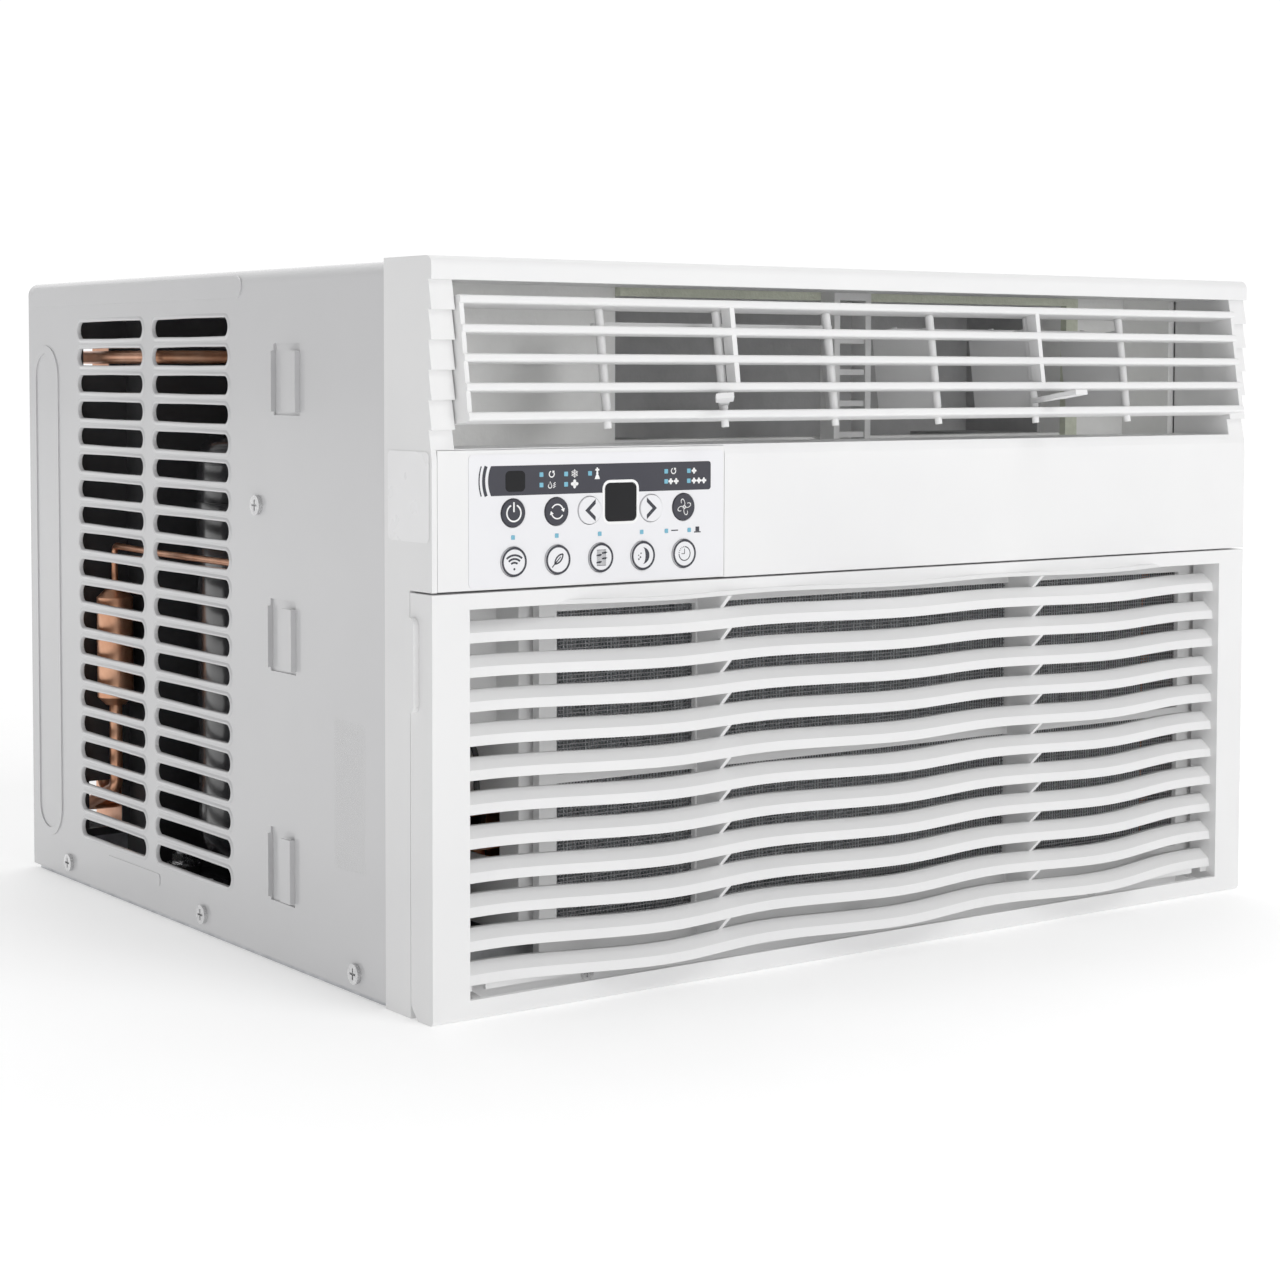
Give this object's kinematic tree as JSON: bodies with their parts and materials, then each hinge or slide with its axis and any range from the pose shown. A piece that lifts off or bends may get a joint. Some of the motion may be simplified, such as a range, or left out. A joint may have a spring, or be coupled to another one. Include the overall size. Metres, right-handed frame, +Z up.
{
  "type": "window air conditioner",
  "caption": "Window air conditioner: slotted steel cabinet, wave-bar intake grille, tilting louvers with swinging vanes, push-button panel, blower, compressor and coils inside.",
  "frame": {"origin": "centre of the cabinet footprint, flat front face to rear edge, on the plane of the base pan's underside", "axes": "+X to the right seen from the front, the plastic front and its controls face -Y, +Z up"},
  "size_m": [0.4768, 0.4336, 0.305],
  "materials": {
    "white_plastic": "satin",
    "cabinet_steel": "gloss",
    "pan_steel": "satin",
    "screw_steel": "polished",
    "overlay": "satin",
    "black_window": "gloss",
    "blue_lens": "gloss",
    "dark_button": "satin",
    "light_button": "satin",
    "board": "satin",
    "filter_white": "satin",
    "mesh": "matte",
    "foam": "matte",
    "gasket": "matte",
    "fin_aluminium": "satin",
    "copper": "satin",
    "dark_plastic": "matte",
    "motor_steel": "satin",
    "shaft_steel": "satin",
    "compressor_black": "gloss",
    "rubber": "matte",
    "capacitor_can": "satin"
  },
  "bodies": {
    "cabinet": {"base_pan": "pan_steel", "cabinet_wrapper": "cabinet_steel", "cabinet_screws": "screw_steel", "front_frame": "white_plastic", "front_frame_screws": "screw_steel", "control_panel": "white_plastic", "control_overlay": "overlay", "display_window": "black_window", "receiver_window": "black_window", "indicator_lenses": "blue_lens", "control_board": "board", "discharge_duct": "foam", "outlet_gasket": "gasket", "flow_divider": "filter_white", "evaporator_fins": "fin_aluminium", "evaporator_tubes": "copper", "air_orifice": "pan_steel", "blower_scroll": "foam", "partition": "pan_steel", "fan_motor": "motor_steel", "motor_bracket": "pan_steel", "fan_shroud": "dark_plastic", "condenser_fins": "fin_aluminium", "condenser_tubes": "copper", "control_box": "filter_white", "capacitor": "capacitor_can", "compressor": "compressor_black", "compressor_grommets": "rubber", "compressor_nuts": "screw_steel", "suction_line": "copper", "discharge_line": "copper", "liquid_line": "copper", "filter_drier": "copper", "cord_grommet": "rubber"},
    "grille": {"intake_grille": "white_plastic", "filter_frame": "filter_white", "filter_mesh": "mesh"},
    "louver": {"louver_frame": "white_plastic"},
    "rotor": {"blower_wheel": "dark_plastic", "motor_shaft": "shaft_steel", "condenser_fan": "dark_plastic"},
    "left_link": {"left_vane_link": "white_plastic"},
    "right_link": {"right_vane_link": "white_plastic"},
    "vane_1": {"vane_1": "white_plastic"},
    "vane_2": {"vane_2": "white_plastic"},
    "vane_3": {"vane_3": "white_plastic"},
    "vane_4": {"vane_4": "white_plastic"},
    "vane_5": {"vane_5": "white_plastic"},
    "vane_6": {"vane_6": "white_plastic"},
    "button_power": {"button_power": "dark_button"},
    "button_mode": {"button_mode": "dark_button"},
    "button_down": {"button_down": "light_button"},
    "button_up": {"button_up": "light_button"},
    "button_fan": {"button_fan": "dark_button"},
    "button_wireless": {"button_wireless": "light_button"},
    "button_eco": {"button_eco": "light_button"},
    "button_filter": {"button_filter": "light_button"},
    "button_sleep": {"button_sleep": "light_button"},
    "button_timer": {"button_timer": "light_button"}
  },
  "joints": [
    {"name": "grille_hinge", "type": "hinge", "parent": "cabinet", "child": "grille", "pos_m": [0, -0.198, 0.005], "axis": [1, 0, 0], "range_deg": [0, 60]},
    {"name": "louver_tilt", "type": "hinge", "parent": "cabinet", "child": "louver", "pos_m": [0, -0.191, 0.266], "axis": [1, 0, 0], "range_deg": [-7, 23]},
    {"name": "fan_spin", "type": "hinge", "parent": "cabinet", "child": "rotor", "pos_m": [0.03575, -0.003, 0.132], "axis": [0, 1, 0], "continuous": true},
    {"name": "vane_1_swing", "type": "hinge", "parent": "louver", "child": "vane_1", "pos_m": [-0.152, -0.19872, 0.26713], "axis": [0, 0.1444, 0.9895], "range_deg": [-4, 76]},
    {"name": "vane_2_swing", "type": "hinge", "parent": "louver", "child": "vane_2", "pos_m": [-0.0912, -0.19872, 0.26713], "axis": [0, 0.1444, 0.9895], "range_deg": [-4, 76]},
    {"name": "vane_3_swing", "type": "hinge", "parent": "louver", "child": "vane_3", "pos_m": [-0.0304, -0.19872, 0.26713], "axis": [0, 0.1444, 0.9895], "range_deg": [-4, 76]},
    {"name": "vane_4_swing", "type": "hinge", "parent": "louver", "child": "vane_4", "pos_m": [0.0304, -0.19872, 0.26713], "axis": [0, 0.1444, 0.9895], "range_deg": [-40, 40]},
    {"name": "vane_5_swing", "type": "hinge", "parent": "louver", "child": "vane_5", "pos_m": [0.0912, -0.19872, 0.26713], "axis": [0, 0.1444, 0.9895], "range_deg": [-40, 40]},
    {"name": "vane_6_swing", "type": "hinge", "parent": "louver", "child": "vane_6", "pos_m": [0.152, -0.19872, 0.26713], "axis": [0, 0.1444, 0.9895], "range_deg": [-40, 40]},
    {"name": "left_link_pivot", "type": "hinge", "parent": "vane_2", "child": "left_link", "pos_m": [-0.07709, -0.1774, 0.27877], "axis": [0, 0.1444, 0.9895], "range_deg": [-76, 4]},
    {"name": "right_link_pivot", "type": "hinge", "parent": "vane_5", "child": "right_link", "pos_m": [0.0912, -0.17286, 0.27811], "axis": [0, 0.1444, 0.9895], "range_deg": [-40, 40]},
    {"name": "button_power_press", "type": "slide", "parent": "cabinet", "child": "button_power", "axis": [0, 1, 0], "range_m": [0, 0.0006], "stiffness_N_per_m": 600, "springref_m": -0.0004},
    {"name": "button_mode_press", "type": "slide", "parent": "cabinet", "child": "button_mode", "axis": [0, 1, 0], "range_m": [0, 0.0006], "stiffness_N_per_m": 600, "springref_m": -0.0004},
    {"name": "button_down_press", "type": "slide", "parent": "cabinet", "child": "button_down", "axis": [0, 1, 0], "range_m": [0, 0.0006], "stiffness_N_per_m": 600, "springref_m": -0.0004},
    {"name": "button_up_press", "type": "slide", "parent": "cabinet", "child": "button_up", "axis": [0, 1, 0], "range_m": [0, 0.0006], "stiffness_N_per_m": 600, "springref_m": -0.0004},
    {"name": "button_fan_press", "type": "slide", "parent": "cabinet", "child": "button_fan", "axis": [0, 1, 0], "range_m": [0, 0.0006], "stiffness_N_per_m": 600, "springref_m": -0.0004},
    {"name": "button_wireless_press", "type": "slide", "parent": "cabinet", "child": "button_wireless", "axis": [0, 1, 0], "range_m": [0, 0.0006], "stiffness_N_per_m": 600, "springref_m": -0.0004},
    {"name": "button_eco_press", "type": "slide", "parent": "cabinet", "child": "button_eco", "axis": [0, 1, 0], "range_m": [0, 0.0006], "stiffness_N_per_m": 600, "springref_m": -0.0004},
    {"name": "button_filter_press", "type": "slide", "parent": "cabinet", "child": "button_filter", "axis": [0, 1, 0], "range_m": [0, 0.0006], "stiffness_N_per_m": 600, "springref_m": -0.0004},
    {"name": "button_sleep_press", "type": "slide", "parent": "cabinet", "child": "button_sleep", "axis": [0, 1, 0], "range_m": [0, 0.0006], "stiffness_N_per_m": 600, "springref_m": -0.0004},
    {"name": "button_timer_press", "type": "slide", "parent": "cabinet", "child": "button_timer", "axis": [0, 1, 0], "range_m": [0, 0.0006], "stiffness_N_per_m": 600, "springref_m": -0.0004}
  ],
  "couplings": [
    {"joint": "vane_1_swing", "follows": "vane_2_swing", "ratio": 1},
    {"joint": "vane_3_swing", "follows": "vane_2_swing", "ratio": 1},
    {"joint": "vane_4_swing", "follows": "vane_5_swing", "ratio": 1},
    {"joint": "vane_6_swing", "follows": "vane_5_swing", "ratio": 1},
    {"joint": "left_link_pivot", "follows": "vane_2_swing", "ratio": -1},
    {"joint": "right_link_pivot", "follows": "vane_5_swing", "ratio": -1}
  ]
}
